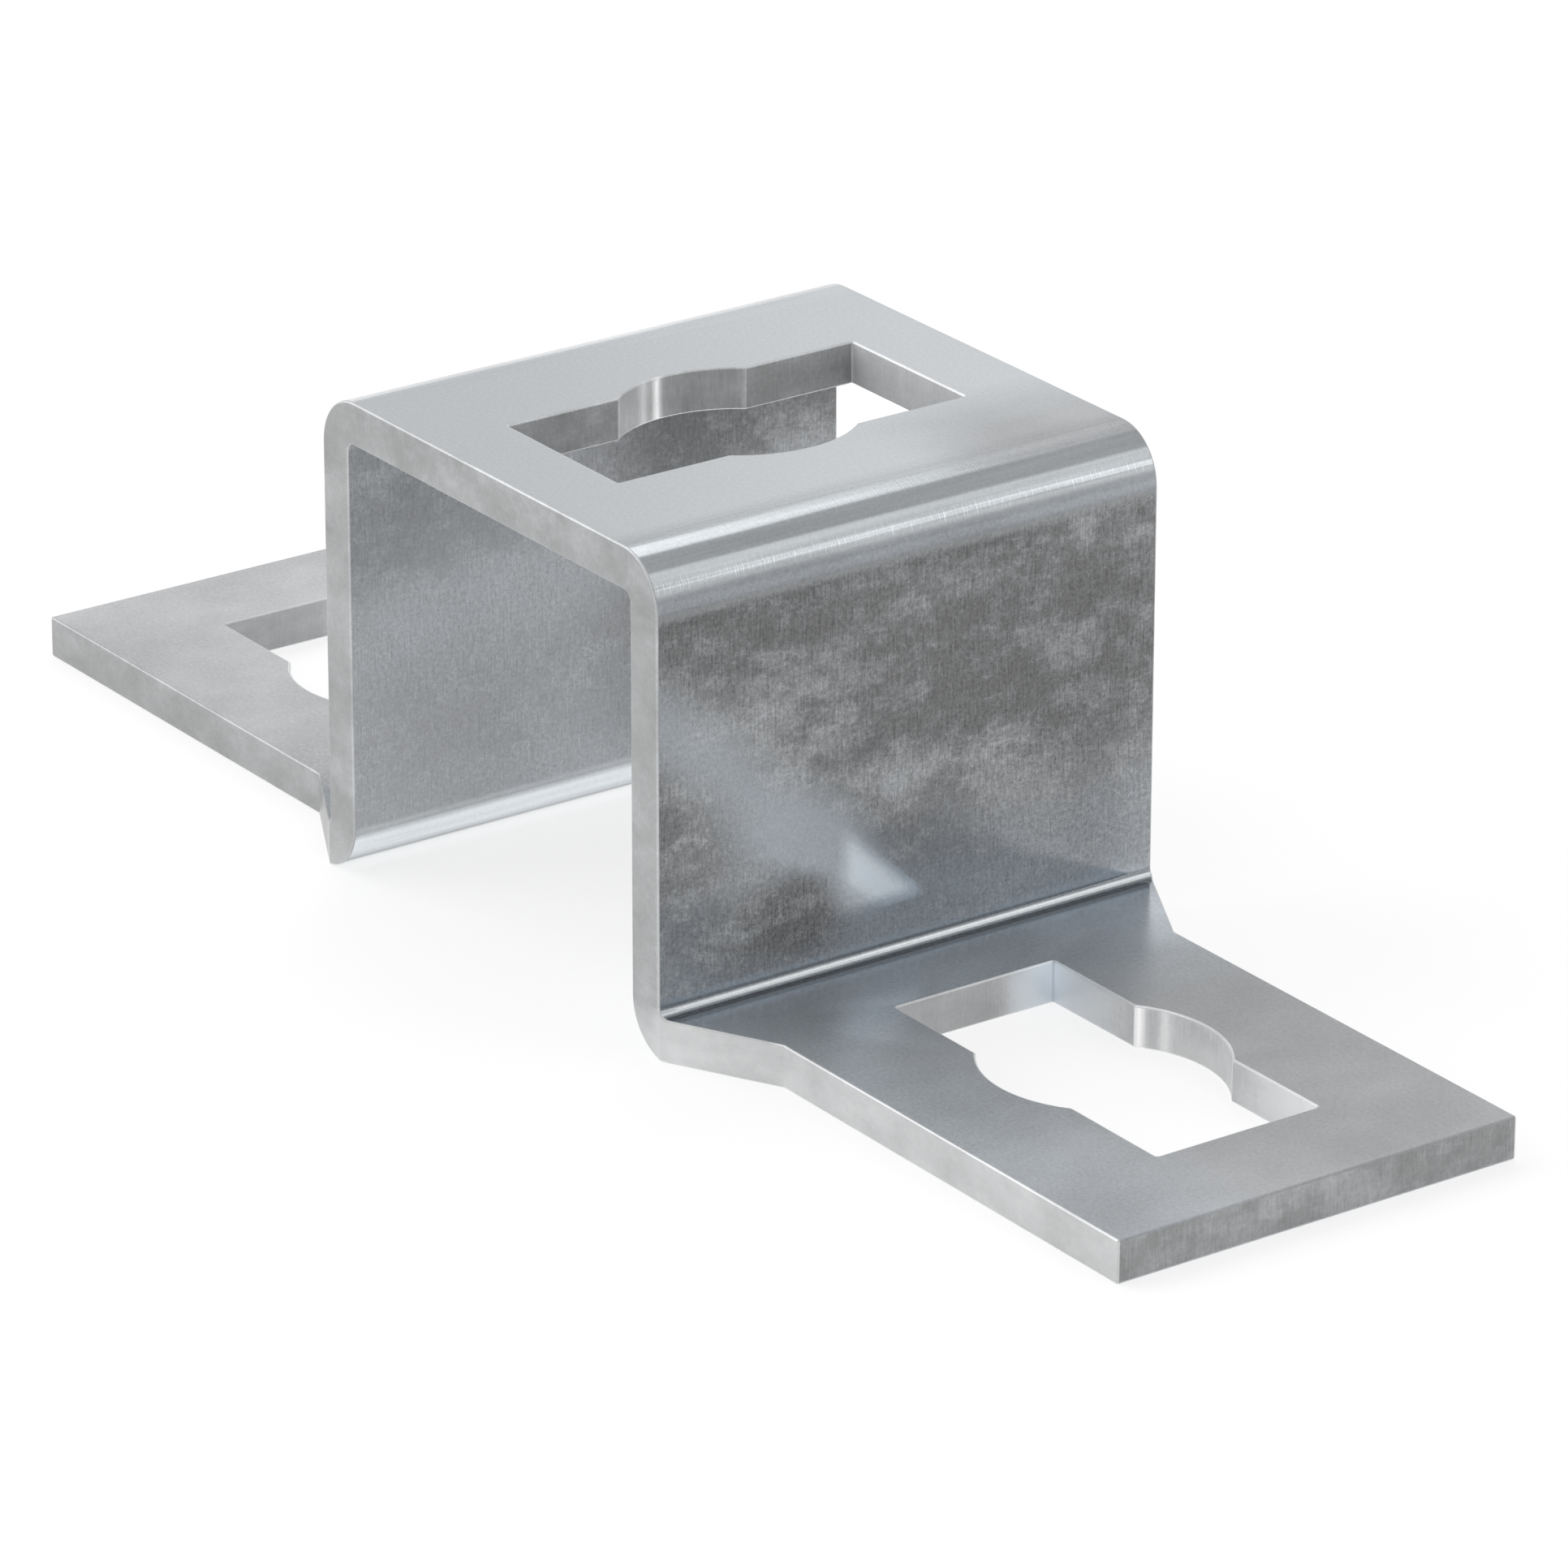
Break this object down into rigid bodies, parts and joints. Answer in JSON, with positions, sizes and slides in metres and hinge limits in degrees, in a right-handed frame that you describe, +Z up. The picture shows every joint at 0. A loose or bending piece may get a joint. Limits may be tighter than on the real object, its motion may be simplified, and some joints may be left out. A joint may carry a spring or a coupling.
{
  "type": "channel connector",
  "caption": "Hat-shaped bracket folded from one steel strip: it straddles a strut channel and is fixed through keyed slots in its flanges and top.",
  "frame": {"origin": "midway between the two flanges, in the plane that their undersides rest on", "axes": "+X along the strip from flange to flange, +Y along the folds and the channel under the hat, +Z up"},
  "size_m": [0.1676, 0.0532, 0.046],
  "materials": {
    "zinc_coated_steel": "satin zinc coating with a fine rolling grain and cloudy grey patches"
  },
  "bodies": {
    "root": {"channel_connector": "zinc_coated_steel"}
  },
  "joints": []
}
